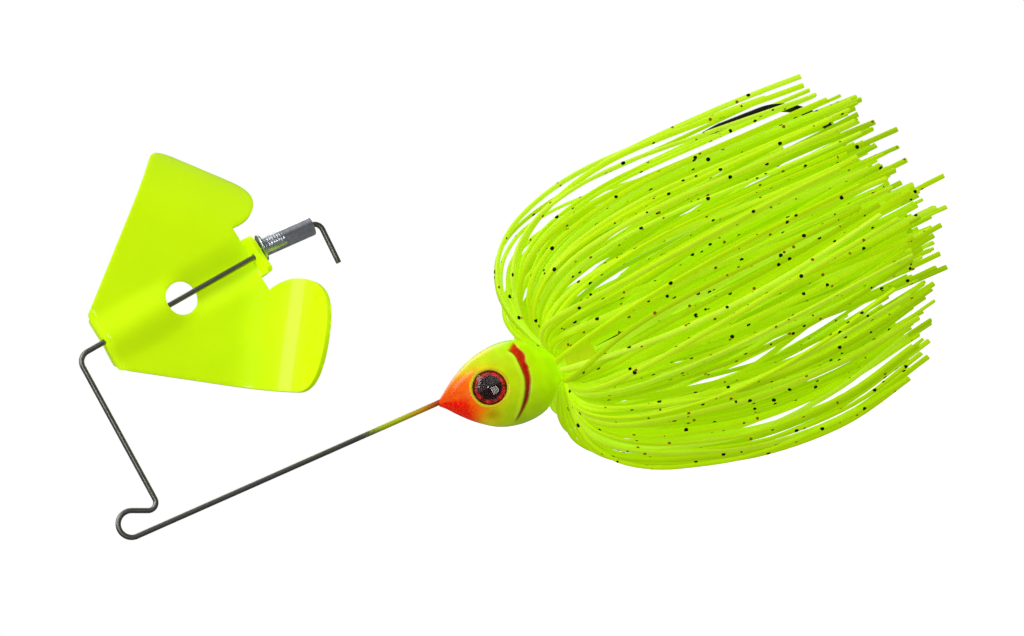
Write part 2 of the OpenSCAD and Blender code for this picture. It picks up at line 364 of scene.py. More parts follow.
def remap(tree, value, low, high, to_low=0.0, to_high=1.0):
    """A value mapped smoothly from one range to another."""
    made = add(tree, "MapRange", {"Value": value, "From Min": low, "From Max": high,
                                  "To Min": to_low, "To Max": to_high})
    made.interpolation_type = "SMOOTHSTEP"
    return made.outputs["Result"]


def ramp(tree, value, stops):
    """Colour stops as (position, colour)."""
    made = add(tree, "ValToRGB", {"Fac": value})
    elements = made.color_ramp.elements
    while len(elements) < len(stops):
        elements.new(1.0)
    for element, (position, colour) in zip(elements, stops):
        element.position = position
        element.color = colour
    return made.outputs["Color"]


def mix(tree, factor, a, b):
    """Colour a, going to colour b as the factor goes to one."""
    made = add(tree, "Mix", data_type="RGBA")
    for index, value in ((0, factor), (6, a), (7, b)):
        if isinstance(value, bpy.types.NodeSocket):
            tree.links.new(value, made.inputs[index])
        else:
            made.inputs[index].default_value = value
    return made.outputs[2]


def noise(tree, vector, scale, detail=3.0, rough=0.5):
    return add(tree, "TexNoise", {"Vector": vector, "Scale": scale, "Detail": detail,
                                  "Roughness": rough}).outputs["Fac"]


def place(tree):
    """Where a shaded point is on its object, in metres."""
    return add(tree, "TexCoord").outputs["Object"]


def bump(tree, shader, height, strength, distance):
    """Height in the shader's normal, with its distance in millimetres."""
    made = add(tree, "Bump", {"Height": height, "Strength": strength, "Distance": distance * MM})
    tree.links.new(made.outputs["Normal"], shader.inputs["Normal"])


def streaks(tree, stretch):
    """Noise that runs lengthwise along a bar: it follows the way the surface faces."""
    facing = add(tree, "TexCoord").outputs["Normal"]
    along = add(tree, "Attribute", attribute_name="along").outputs["Fac"]
    scaled = add(tree, "VectorMath", {0: facing, 1: (5, 5, 5)}, operation="MULTIPLY").outputs[0]
    moved = add(tree, "CombineXYZ", {"X": math_node(tree, "MULTIPLY", along, stretch)}).outputs[0]
    return add(tree, "VectorMath", {0: scaled, 1: moved}, operation="ADD").outputs[0]


def wire_steel():
    """Satin drawn steel, with the head's paint misted along the arm in front of the nose."""
    made, tree, shader = material("wire_steel", Roughness=0.3)
    grain = noise(tree, streaks(tree, 0.12), 3.0)
    steel = ramp(tree, grain, [(0.3, (0.17, 0.165, 0.15, 1)), (0.7, (0.3, 0.29, 0.27, 1))])
    spot = place(tree)
    split = add(tree, "SeparateXYZ", {0: spot})
    reach = remap(tree, split.outputs["X"], 0.036, 0.0515)
    broken = noise(tree, spot, 1500.0, 4.0, 0.7)
    cover = remap(tree, math_node(tree, "ADD", reach, math_node(tree, "MULTIPLY", broken, 0.5)), 0.45, 0.85)
    low = remap(tree, split.outputs["Z"], 0.004, 0.003)
    cover = math_node(tree, "MULTIPLY", cover, low)
    paint = ramp(tree, remap(tree, split.outputs["X"], 0.036, 0.0575),
                 [(0.0, linear(190, 225, 20)), (0.6, linear(225, 235, 15)),
                  (0.84, linear(248, 190, 12)), (0.97, linear(225, 70, 10))])
    tree.links.new(mix(tree, cover, steel, paint), shader.inputs["Base Color"])
    tree.links.new(math_node(tree, "SUBTRACT", 1.0, cover), shader.inputs["Metallic"])
    tree.links.new(remap(tree, grain, 0.3, 0.7, 0.32, 0.44), shader.inputs["Roughness"])
    height = math_node(tree, "ADD", grain, math_node(tree, "MULTIPLY", broken, cover))
    bump(tree, shader, height, 0.1, 0.03)
    return made


def blade_paint():
    """Gloss fluorescent paint, sprayed and baked on sheet metal. Its even emission is partly the pigment's
    fluorescence and partly a painted glow that lifts its shade.
    """
    # Emission in the paint's own colour: a painted glow that brightens the blade's shaded parts.
    made, tree, shader = material("blade_paint", Coat_Weight=0.22, Coat_Roughness=0.06,
                                  Emission_Color=CHARTREUSE, Emission_Strength=0.36)
    shader.inputs["Specular IOR Level"].default_value = 0.08
    spot = place(tree)
    cloud = noise(tree, spot, 90.0)
    tone = ramp(tree, cloud, [(0.3, linear(198, 240, 4)), (0.7, linear(208, 250, 4))])
    dust = add(tree, "TexVoronoi", {"Vector": spot, "Scale": 700.0})
    dot = remap(tree, dust.outputs["Distance"], 0.09, 0.06)
    rare = remap(tree, add(tree, "SeparateColor", {0: dust.outputs["Color"]}).outputs[0], 0.93, 0.95)
    speck = math_node(tree, "MULTIPLY", dot, math_node(tree, "MULTIPLY", rare, 0.35))
    tree.links.new(mix(tree, speck, tone, linear(120, 150, 10)), shader.inputs["Base Color"])
    peel = noise(tree, spot, 650.0, 2.0)
    tree.links.new(remap(tree, peel, 0.3, 0.7, 0.26, 0.36), shader.inputs["Roughness"])
    bump(tree, shader, peel, 0.12, 0.05)
    return made


def rivet_aluminium():
    """Bright rolled aluminium with fine turning marks."""
    made, tree, shader = material("rivet_aluminium", Metallic=1.0)
    along = add(tree, "Attribute", attribute_name="along").outputs["Fac"]
    rings = noise(tree, add(tree, "CombineXYZ", {"X": along}).outputs[0], 9.0, 3.0, 0.7)
    spot = place(tree)
    smear = noise(tree, spot, 1200.0, 3.0)
    tree.links.new(ramp(tree, smear, [(0.3, (0.55, 0.6, 0.65, 1)), (0.75, (0.84, 0.87, 0.9, 1))]),
                   shader.inputs["Base Color"])
    turned = remap(tree, along, 4.6, 3.6)
    rough = math_node(tree, "MULTIPLY_ADD", turned, 0.12)
    rough.node.inputs[2].default_value = 0.16
    tree.links.new(rough, shader.inputs["Roughness"])
    bump(tree, shader, math_node(tree, "MULTIPLY", rings, turned), 0.6, 0.12)
    return made


def hook_nickel():
    """Black nickel plate with faint draw marks."""
    made, tree, shader = material("hook_nickel", Metallic=1.0)
    grain = noise(tree, streaks(tree, 0.08), 3.0)
    tree.links.new(ramp(tree, grain, [(0.3, (0.022, 0.02, 0.02, 1)), (0.75, (0.065, 0.06, 0.058, 1))]),
                   shader.inputs["Base Color"])
    tree.links.new(remap(tree, grain, 0.3, 0.7, 0.16, 0.3), shader.inputs["Roughness"])
    bump(tree, shader, grain, 0.15, 0.03)
    return made


def head_paint():
    """Airbrushed colours under clear lacquer, with a fine mist of the next colour in each. The same colours
    are emitted, partly as fluorescence and partly as a painted glow that lifts the shade.
    """
    # The emission strength sets a painted glow that brightens the head's shaded parts.
    made, tree, shader = material("head_paint", Coat_Weight=0.3, Coat_Roughness=0.05,
                                  Emission_Strength=0.38)
    shader.inputs["Specular IOR Level"].default_value = 0.1
    painted = add(tree, "Attribute", attribute_name="paint").outputs["Color"]
    spot = place(tree)
    mist = noise(tree, spot, 2600.0, 2.0, 0.6)
    cloud = noise(tree, spot, 420.0, 3.0)
    varied = add(tree, "HueSaturation", {
        "Hue": remap(tree, mist, 0.3, 0.7, 0.497, 0.508),
        "Saturation": 1.0,
        "Value": remap(tree, cloud, 0.3, 0.7, 0.93, 1.05),
        "Fac": 1.0,
        "Color": painted,
    }).outputs["Color"]
    tree.links.new(varied, shader.inputs["Base Color"])
    # The paint colour is also emitted: painted glow.
    tree.links.new(varied, shader.inputs["Emission Color"])
    tree.links.new(remap(tree, mist, 0.3, 0.7, 0.25, 0.4), shader.inputs["Roughness"])
    bump(tree, shader, cloud, 0.2, 0.1)
    return made


def collar_rubber():
    """Olive skirt-band rubber, dull and slightly dimpled, with an even painted glow in olive that lifts its
    shade.
    """
    # The emission is a painted glow, not light from the rubber.
    made, tree, shader = material("collar_rubber", Subsurface_Weight=0.15, Subsurface_Scale=0.0008,
                                  Emission_Color=linear(196, 208, 12), Emission_Strength=0.45)
    spot = place(tree)
    cloud = noise(tree, spot, 500.0, 4.0)
    tree.links.new(ramp(tree, cloud, [(0.3, linear(176, 190, 10)), (0.7, linear(196, 212, 14))]),
                   shader.inputs["Base Color"])
    tree.links.new(remap(tree, cloud, 0.3, 0.7, 0.45, 0.6), shader.inputs["Roughness"])
    bump(tree, shader, noise(tree, spot, 2200.0, 2.0), 0.3, 0.08)
    return made


def eye_foil():
    """A printed holographic disc: black pupil, red iris that darkens outwards, gold rim."""
    made, tree, shader = material("eye_foil", Roughness=0.4)
    shader.inputs["Specular IOR Level"].default_value = 0.0
    lo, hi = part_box("eye_foil_right")
    centre = (lo + hi) / 2
    split = add(tree, "SeparateXYZ", {0: place(tree)})
    folded = add(tree, "CombineXYZ", {
        "X": split.outputs["X"],
        "Y": math_node(tree, "ABSOLUTE", split.outputs["Y"]),
        "Z": split.outputs["Z"],
    }).outputs[0]
    out = add(tree, "VectorMath", {0: folded, 1: tuple(centre)}, operation="SUBTRACT").outputs[0]
    away = add(tree, "VectorMath", {0: out}, operation="LENGTH").outputs["Value"]
    share = math_node(tree, "DIVIDE", away, EYE_R * MM)
    heading = add(tree, "VectorMath", {0: out}, operation="NORMALIZE").outputs[0]
    spokes = noise(tree, heading, 2.2, 2.0)
    rings = ramp(tree, share, [
        (0.0, (0.006, 0.006, 0.005, 1)), (0.62, (0.010, 0.007, 0.005, 1)),
        (0.65, (0.45, 0.006, 0.006, 1)), (0.78, (0.85, 0.014, 0.014, 1)),
        (0.87, (0.34, 0.004, 0.010, 1)), (0.93, (0.05, 0.002, 0.004, 1)),
        (0.975, (0.45, 0.26, 0.03, 1))])
    shade = remap(tree, spokes, 0.4, 0.62, 0.0, 0.7)
    tree.links.new(mix(tree, shade, rings, (0.03, 0.0, 0.002, 1)), shader.inputs["Base Color"])
    bump(tree, shader, noise(tree, place(tree), 4500.0, 2.0), 0.15, 0.03)
    return made


def eye_lens():
    """Clear domed epoxy with a faint ripple."""
    made, tree, shader = material("eye_lens", Roughness=0.03, IOR=1.36, Transmission_Weight=1.0,
                                  Base_Color=(1.0, 0.96, 0.95, 1))
    bump(tree, shader, noise(tree, place(tree), 900.0, 2.0), 0.05, 0.05)
    return made


def skirt_silicone():
    """Translucent fluorescent silicone with black and copper flakes cast into it. Its emission is partly
    fluorescence and partly a painted glow that evens out its shade.
    """
    made, tree, shader = material("skirt_silicone", Subsurface_Weight=0.2, Subsurface_Scale=0.0012,
                                  Emission_Strength=0.42)
    shader.inputs["Subsurface Radius"].default_value = (1.0, 1.0, 0.15)
    shader.inputs["Specular IOR Level"].default_value = 0.1
    spot = place(tree)
    # tone holds a random tone per strand, lowered on the inner layers as painted shade.
    tone = add(tree, "Attribute", attribute_name="tone").outputs["Fac"]
    plain = ramp(tree, tone, [(0.0, DEEP_AND_SHADED_CHARTREUSE), (0.5, CHARTREUSE), (1.0, PALE_CHARTREUSE)])
    cloud = noise(tree, spot, 260.0, 3.0)
    plain = mix(tree, remap(tree, cloud, 0.35, 0.7, 0.0, 0.3), plain, linear(190, 234, 0))
    coloured = plain
    for scale, size, share, colour in ((450.0, 0.18, 0.42, linear(12, 12, 4)),
                                       (500.0, 0.16, 0.62, linear(150, 84, 6))):
        cells = add(tree, "TexVoronoi", {"Vector": spot, "Scale": scale})
        chance = add(tree, "SeparateColor", {0: cells.outputs["Color"]}).outputs[0]
        dot = remap(tree, cells.outputs["Distance"], size, size * 0.85)
        kept = remap(tree, chance, share, share + 0.01)
        coloured = mix(tree, math_node(tree, "MULTIPLY", dot, kept), coloured, colour)
    # The base colour is darkened and the same colours are emitted: a painted glow that flattens the skirt's
    # shade.
    tree.links.new(mix(tree, 0.35, coloured, (0, 0, 0, 1)), shader.inputs["Base Color"])
    tree.links.new(coloured, shader.inputs["Emission Color"])
    tree.links.new(remap(tree, cloud, 0.3, 0.7, 0.3, 0.45), shader.inputs["Roughness"])
    bump(tree, shader, noise(tree, spot, 1800.0, 2.0), 0.15, 0.06)
    return made


# ---------------------------------------------------------------- wire, blade, rivet, hook

def wire_line():
    """The middle of the frame wire in X and Z, from the turned-down tail to the end in the head."""
    axle_p = np.array([ARM_FOOT[0] - (AXLE_RISE - ARM_FOOT[1]) * math.tan(math.radians(FRONT_LEAN)),
                       AXLE_RISE])
    tail_p = meet(axle_p, ray(AXLE_TILT), np.array([TAIL_X, 0]), ray(90))
    tie_top = ray(90 - TIE_RUN_SLOPE) * TIE_R
    foot_p = meet(tie_top, ray(180 - TIE_RUN_SLOPE), axle_p, ray(270 + FRONT_LEAN))
    tie_low = ray(270 - ARM_SLOPE) * TIE_R
    anchor_p = meet(tie_low, ray(-ARM_SLOPE), np.array([ANCHOR_X, 0]), ray(90))
    tail_end = tail_p - [0, TAIL_DROP]
    anchor_end = anchor_p - [0, ANCHOR_DROP]
    line = [tail_end]
    line += fillet(tail_end, tail_p, axle_p, TAIL_CORNER_R)
    line += fillet(tail_p, axle_p, foot_p, FRONT_CORNER_R)
    line += fillet(axle_p, foot_p, tie_top, TIE_CORNER_R)
    line += arc(np.zeros(2), TIE_R, 90 - TIE_RUN_SLOPE, 270 - ARM_SLOPE, 40)
    line += fillet(tie_low, anchor_p, anchor_end, ANCHOR_CORNER_R)
    line.append(anchor_end)
    return line


def lengths_along(line):
    """How far along a line each of its points is."""
    return np.concatenate([[0], np.cumsum(np.linalg.norm(np.diff(line, axis=0), axis=1))])


def build_wire():
    """The bent frame wire, which knows how far along it each point is."""
    line = subdivided(wire_line(), 1.5)
    line, radii = rounded_ends(line, WIRE_R, 0.09)
    verts, faces = loft(plane_sweep(line, radii))
    along = np.repeat(lengths_along(line), BAR_SIDES)
    made = piece("bent_wire", verts, faces, wire_steel(), "frame", ["wire_frame"],
                 {"along": along})
    sharpen(made, 50)


def axle_frame():
    """The blade's own directions: along the axle, across it, and its middle, in millimetres."""
    spin = JOINTS["blade_spin"]
    along = np.array(Vector(spin["axis"]).normalized())
    along = along * math.copysign(1, along[0])
    across = np.array([-along[2], 0, along[0]])
    return np.array(spin["pos_m"]) / MM, along, across


def tab_length(height, turn):
    """Flat length from the start of a fold to the point that it lifts to a height."""
    return FOLD_R * turn + (height - FOLD_R * (1 - math.cos(turn))) / math.sin(turn)


def blade_outline():
    """The blade's flat pattern, as distances along and across the axle, going round once."""
    c, s = math.cos(SWEEP), math.sin(SWEEP)

    def from_wing(u, v):
        return np.array([u * c + v * s, v * c - u * s])

    lead_v = WING_V - WING_HALF
    fold_front = NOSE_S + SHEET / 2 + FOLD_R
    front_end = fold_front - tab_length(FRONT_TAB_Y, math.pi / 2)
    fold_rear = STERN_S + SHEET / 2 - FOLD_R
    rear_end = fold_rear + tab_length(REAR_TAB_Y, REAR_TAB_TURN)

    def lead_t(at_s):
        return (lead_v - at_s * s) / c

    lower = [np.array([front_end, 0.0])]
    corner = np.array([front_end, -FRONT_TAB_HALF])
    lower += fillet(lower[0], corner, np.array([fold_front - 1, -FRONT_TAB_HALF]), TAB_CORNER_R, 6)
    lower.append(np.array([fold_front - 1.5, -FRONT_TAB_HALF]))
    lower.append(np.array([fold_front - 0.9, lead_t(fold_front - 0.9)]))
    for a in np.radians(np.linspace(-90, 90, 41)):
        full = LEAD_FULL if a < 0 else 0
        lower.append(from_wing(WING_ROUND_U + full + (WING_HALF - full) * math.cos(a),
                               WING_V + WING_HALF * math.sin(a)))
    notch = np.array([fold_rear, -NOTCH_T])
    start = np.array([WING_ROUND_U, WING_V + WING_HALF])
    end = np.array([notch[0] * c - notch[1] * s, notch[0] * s + notch[1] * c])
    bend = np.array([end[0] + 2.4, start[1] + 0.1])
    for t in np.linspace(0.1, 1, 10):
        lower.append(from_wing(*((1 - t) ** 2 * start + 2 * t * (1 - t) * bend + t * t * end)))
    lower.append(np.array([fold_rear, -REAR_TAB_HALF]))
    corner = np.array([rear_end, -REAR_TAB_HALF])
    lower += fillet(lower[-1], corner, np.array([rear_end, 0.0]), TAB_CORNER_R, 6)
    upper = [p * [1, -1] for p in lower[::-1] if abs(p[1]) > 1e-9]
    return subdivided(lower + [np.array([rear_end, 0.0])] + upper, 0.6)


def inside(polygon, points):
    """Which points lie in a polygon, by counting the edges to one side."""
    x, y = points[:, 0], points[:, 1]
    hit = np.zeros(len(points), bool)
    for a, b in zip(polygon, np.roll(polygon, -1, axis=0)):
        crosses = (a[1] > y) != (b[1] > y)
        with np.errstate(divide="ignore", invalid="ignore"):
            hit ^= crosses & (x < (b[0] - a[0]) * (y - a[1]) / (b[1] - a[1]) + a[0])
    return hit


def formed(flat):
    """Flat pattern points taken to where the stamped, folded and rolled sheet has them."""
    s, t = flat[:, 0].copy(), flat[:, 1]
    ridge = RIDGE_H * np.cos(np.clip(np.abs(t) / RIDGE_HALF, 0, 1) * math.pi / 2) ** 2
    swap = 2 * smoothstep(-3.0, 3.0, s) - 1
    fade = 1 - 0.25 * smoothstep(-7.0, -14.0, s)
    y = ridge * swap * fade
    fold_front = NOSE_S + SHEET / 2 + FOLD_R
    fold_rear = STERN_S + SHEET / 2 - FOLD_R
    out_s = s.copy()
    for fold, way, full_turn in ((fold_front, -1, math.pi / 2), (fold_rear, 1, REAR_TAB_TURN)):
        beyond = np.maximum((s - fold) * way, 0)
        if way > 0:
            beyond = np.where(np.abs(t) < REAR_TAB_HALF + 0.05, beyond, 0)
        turn = np.minimum(beyond / FOLD_R, full_turn)
        straight = np.maximum(beyond - FOLD_R * full_turn, 0)
        moved = beyond > 0
        out_s = np.where(moved, fold + way * (FOLD_R * np.sin(turn) + straight * math.cos(full_turn)), out_s)
        y = np.where(moved, y - way * (FOLD_R * (1 - np.cos(turn)) + straight * math.sin(full_turn)), y)
    wing = np.where(t < 0, -1, 1)
    mirrored = t * -wing
    u = s * math.cos(SWEEP) - mirrored * math.sin(SWEEP)
    turn = np.maximum(u - ROLL_START, 0) / ROLL_R
    blend = smoothstep(0, 4.0, np.abs(t))
    slide = (ROLL_R * np.sin(turn) - np.maximum(u - ROLL_START, 0)) * blend
    curl = ROLL_R * (1 - np.cos(turn)) * blend
    out_s = out_s + slide * math.cos(SWEEP)
    out_t = t + slide * math.sin(SWEEP) * wing
    return out_s, out_t, y + curl * wing


def build_blade():
    """One stamped sheet: two rolled wings, a ridge turning into a trough, and two folded tabs."""
    outline = blade_outline()[:-1]
    turn = np.arange(48) * 7.5
    small = turn[::3]
    fold_front = NOSE_S + SHEET / 2 + FOLD_R
    fold_rear = STERN_S + SHEET / 2 - FOLD_R
    holes = [np.array([HOLE_R * ray(a) for a in turn]),
             np.array([[fold_front - tab_length(0.75 * RIDGE_H, math.pi / 2), 0] + WIRE_HOLE_R * ray(a)
                       for a in small]),
             np.array([[fold_rear + tab_length(RIDGE_H, REAR_TAB_TURN), 0] + WIRE_HOLE_R * ray(a)
                       for a in small])]
    step = 0.7
    xs = np.arange(outline[:, 0].min(), outline[:, 0].max(), step)
    ys = np.arange(outline[:, 1].min(), outline[:, 1].max(), step * 0.87)
    grid = np.array([[x + (j % 2) * step / 2, y] for j, y in enumerate(ys) for x in xs])
    keep = inside(outline, grid)
    edges = [outline] + holes
    for edge in edges:
        gaps = np.linalg.norm(grid[:, None, :] - edge[None, :, :], axis=2).min(axis=1)
        keep &= gaps > step * 0.55
    for hole in holes:
        keep &= ~inside(hole, grid)
    points, lines = [], []
    for edge in edges:
        first = len(points)
        points += list(edge)
        lines += [(first + i, first + (i + 1) % len(edge)) for i in range(len(edge))]
    points += list(grid[keep])
    flat = geometry.delaunay_2d_cdt([Vector(p) for p in points], lines, [], 0, 1e-5)
    verts = np.array([tuple(v) for v in flat[0]])
    faces = [list(f) for f in flat[2]]
    middles = np.array([verts[f].mean(axis=0) for f in faces])
    kept = inside(outline, middles)
    for hole in holes:
        kept &= ~inside(hole, middles)
    faces = [f for f, k in zip(faces, kept) if k]
    s, t, y = formed(verts)
    origin, along, across = axle_frame()
    placed = origin + s[:, None] * along + t[:, None] * across + y[:, None] * np.array([0, 1, 0])
    made = piece("delta_blade", placed, faces, blade_paint(), "blade", ["buzz_blade"])
    sheet = made.modifiers.new("sheet", "SOLIDIFY")
    sheet.thickness = SHEET * MM
    sheet.offset = 0
    edge = made.modifiers.new("rolled_edge", "BEVEL")
    edge.width = 0.14 * MM
    edge.segments = 2
    edge.limit_method = "ANGLE"
    edge.angle_limit = math.radians(60)
    made.modifiers.new("even_normals", "WEIGHTED_NORMAL")


def build_rivet():
    """A flanged tube, loose on the wire behind the blade."""
    origin, along, across = axle_frame()
    middle = origin + (RIVET_FROM + RIVET_L / 2) * along + RIVET_LIFT * across
    tilt = math.radians(RIVET_TILT)
    axis = math.cos(tilt) * along - math.sin(tilt) * across
    front = middle - axis * RIVET_L / 2
    lip, chamfer = FLANGE_T / 2, 0.15
    profile = [np.array([0, RIVET_BORE + chamfer]), np.array([0, FLANGE_R - lip])]
    profile += arc(np.array([lip, FLANGE_R - lip]), lip, 180, 0, 9)[1:]
    profile += arc(np.array([FLANGE_T + 0.3, RIVET_R + 0.3]), 0.3, 180, 270, 5)
    for at in np.arange(FLANGE_T + 0.7, 4.2, 0.45):
        profile += [np.array([at, RIVET_R]), np.array([at + 0.08, RIVET_R - 0.035]),
                    np.array([at + 0.16, RIVET_R])]
    profile += [np.array([4.6, RIVET_R]), np.array([RIVET_L - chamfer, RIVET_R]),
                np.array([RIVET_L, RIVET_R - chamfer]), np.array([RIVET_L, RIVET_BORE + 0.05]),
                np.array([RIVET_L - 0.1, RIVET_BORE]), np.array([chamfer, RIVET_BORE])]
    verts, faces = lathe(profile, front, axis)
    along_it = np.repeat([p[0] for p in profile], LATHE_SIDES)
    made = piece("tube_rivet", verts, faces, rivet_aluminium(), "rivet", ["rivet"],
                 {"along": along_it})
    sharpen(made, 40)


def build_hook():
    """Round-bend hook with a needle point and a small barb on its inner side."""
    bend_c = np.array([BEND_X, SHANK_Z + HOOK_GAP / 2])
    way = ray(180 - POINT_FLARE)
    point_start = bend_c + ray(90 - POINT_FLARE) * HOOK_GAP / 2
    taper_start = point_start + way * (POINT_REACH - POINT_TAPER)
    line = [np.array([ANCHOR_X + 1.5, SHANK_Z])]
    line += arc(bend_c, HOOK_GAP / 2, -90, 90 - POINT_FLARE, 56)
    line.append(taper_start)
    line = subdivided(line, 2.0)
    shares = np.linspace(0, 1, 13)[1:]
    taper = [taper_start + way * POINT_TAPER * share for share in shares]
    radii = np.concatenate([np.full(len(line), HOOK_R),
                            HOOK_R * (1 - shares ** 1.35) + 0.05])
    line = np.vstack([line, taper])
    verts, faces = loft(plane_sweep(line, radii))
    along = np.repeat(lengths_along(line), BAR_SIDES)
    base = taper_start - way * 0.6
    down = -ray(90 - POINT_FLARE)
    # Distance back along the bar, depth below its middle, and half the width
    barb_line = [(0.0, 0.35, 0.02), (0.9, 0.62, 0.16), (1.8, 0.95, 0.24), (2.6, 1.28, 0.12)]
    corners = []
    for step, drop, half in barb_line:
        root = base - way * (step - 3.4) + down * 0.35
        tip = base - way * (step - 2.4) + down * drop
        for sign in (-1, 1):
            corners.append([root[0], sign * (half + 0.08), root[1]])
        for sign in (1, -1):
            corners.append([tip[0], sign * half * 0.6, tip[1]])
    barb_verts, barb_faces = loft(np.array(corners).reshape(len(barb_line), 4, 3))
    first = len(verts)
    faces = faces + [[first + i for i in f] for f in barb_faces]
    verts = np.vstack([verts, barb_verts])
    along = np.concatenate([along, np.zeros(len(barb_verts))])
    made = piece("round_bend_hook", verts, faces, hook_nickel(), "frame", ["hook"],
                 {"along": along})
    sharpen(made, 40)


# ---------------------------------------------------------------- head and eyes

# Head sections as distance along X, top, bottom and half the thickness
HEAD_SECTIONS = [
    (55.2, -4.15, -5.05, 0.55), (56.1, -3.65, -6.0, 1.05), (57.6, -2.75, -7.9, 2.0),
    (59.7, -1.6, -10.1, 3.0), (62.6, -0.4, -12.3, 4.05), (65.6, 0.18, -13.4, 4.65),
    (68.6, 0.25, -13.75, 4.8), (71.2, -0.35, -13.4, 4.5), (72.9, -1.4, -12.5, 4.0),
    (74.3, -2.9, -11.35, 3.45), (75.4, -3.95, -10.5, 3.12), (76.4, -4.15, -10.25, 3.05),
    (83.2, -4.15, -10.25, 3.05)]
# Front edge of the gill slit, as X and Z on the side of the head
GILL = [(69.0, -1.4), (69.6, -2.8), (69.5, -4.6), (69.3, -6.6), (68.8, -8.0),
        (67.9, -9.6), (66.5, -11.4), (65.0, -12.9)]


def eye_place(side_name):
    """Middle of an eye's foil and the way it faces, in millimetres."""
    lo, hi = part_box("eye_foil_" + side_name)
    facing = np.array([-math.sin(EYE_TILT), SIDES[side_name] * math.cos(EYE_TILT), 0])
    return np.array((lo + hi) / 2) / MM, facing


def head_colours(points):
    """Airbrushed colour of each point: orange nose, red throat, chartreuse body, red gill slit, and painted
    shade on the underside towards the rear.
    """
    x, y, z = points.T
    stops = [(55.5, (244, 70, 6)), (58.3, (250, 88, 4)), (60, (250, 104, 4)), (61.2, (248, 124, 4)),
             (62.2, (242, 150, 4)), (63.1, (232, 184, 5)), (64.4, (214, 208, 5)), (66.4, (196, 222, 6)),
             (70, (190, 230, 5)), (90, (184, 228, 4))]
    stations, tops, bottoms, _ = np.array(HEAD_SECTIONS).T
    bottom = np.interp(x, stations, bottoms)
    rise = (z - bottom) / (np.interp(x, stations, tops) - bottom)
    reach = x - 0.35 * np.abs(y) / 4.8 + 3.0 * smoothstep(0.78, 1.0, rise) + 3.0 * smoothstep(-7.5, -11, z)
    base = np.stack([np.interp(reach, [p for p, _ in stops], [linear(*c)[i] for _, c in stops])
                     for i in range(3)], axis=1)

    def lay(colour, amount):
        nonlocal base
        base = base * (1 - amount[:, None]) + np.array(linear(*colour)[:3]) * amount[:, None]

    lay((246, 4, 1), smoothstep(60.5, 58.2, x) * smoothstep(0.6, 0.42, rise) * 0.97)
    smudge = np.exp(-((x - 61.8) / 1.5) ** 2 - ((z + 10.3) / 1.1) ** 2)
    lay((160, 116, 6), smudge * 0.65 * smoothstep(1.5, 3.0, np.abs(y)))
    # Darker green under the rear of the head: painted shade.
    lay((160, 192, 4), smoothstep(-8.5, -12.5, z) * smoothstep(63, 66, x) * 0.6)
    lay((252, 214, 6), smoothstep(-1.2, 0.1, z) * smoothstep(68.5, 65, x) * 0.5)
    return base


def gill_depth(points):
    """How far each point of the head's skin lies behind the gill's front edge, and where along it."""
    edge = spline(GILL, 30)
    flat = points[:, [0, 2]]
    gaps = flat[:, None, :] - edge[None, :, :]
    distance = np.linalg.norm(gaps, axis=2)
    nearest = distance.argmin(axis=1)
    behind = gaps[np.arange(len(flat)), nearest, 0] > 0
    return np.where(behind, 1, -1) * distance.min(axis=1), nearest / (len(edge) - 1)


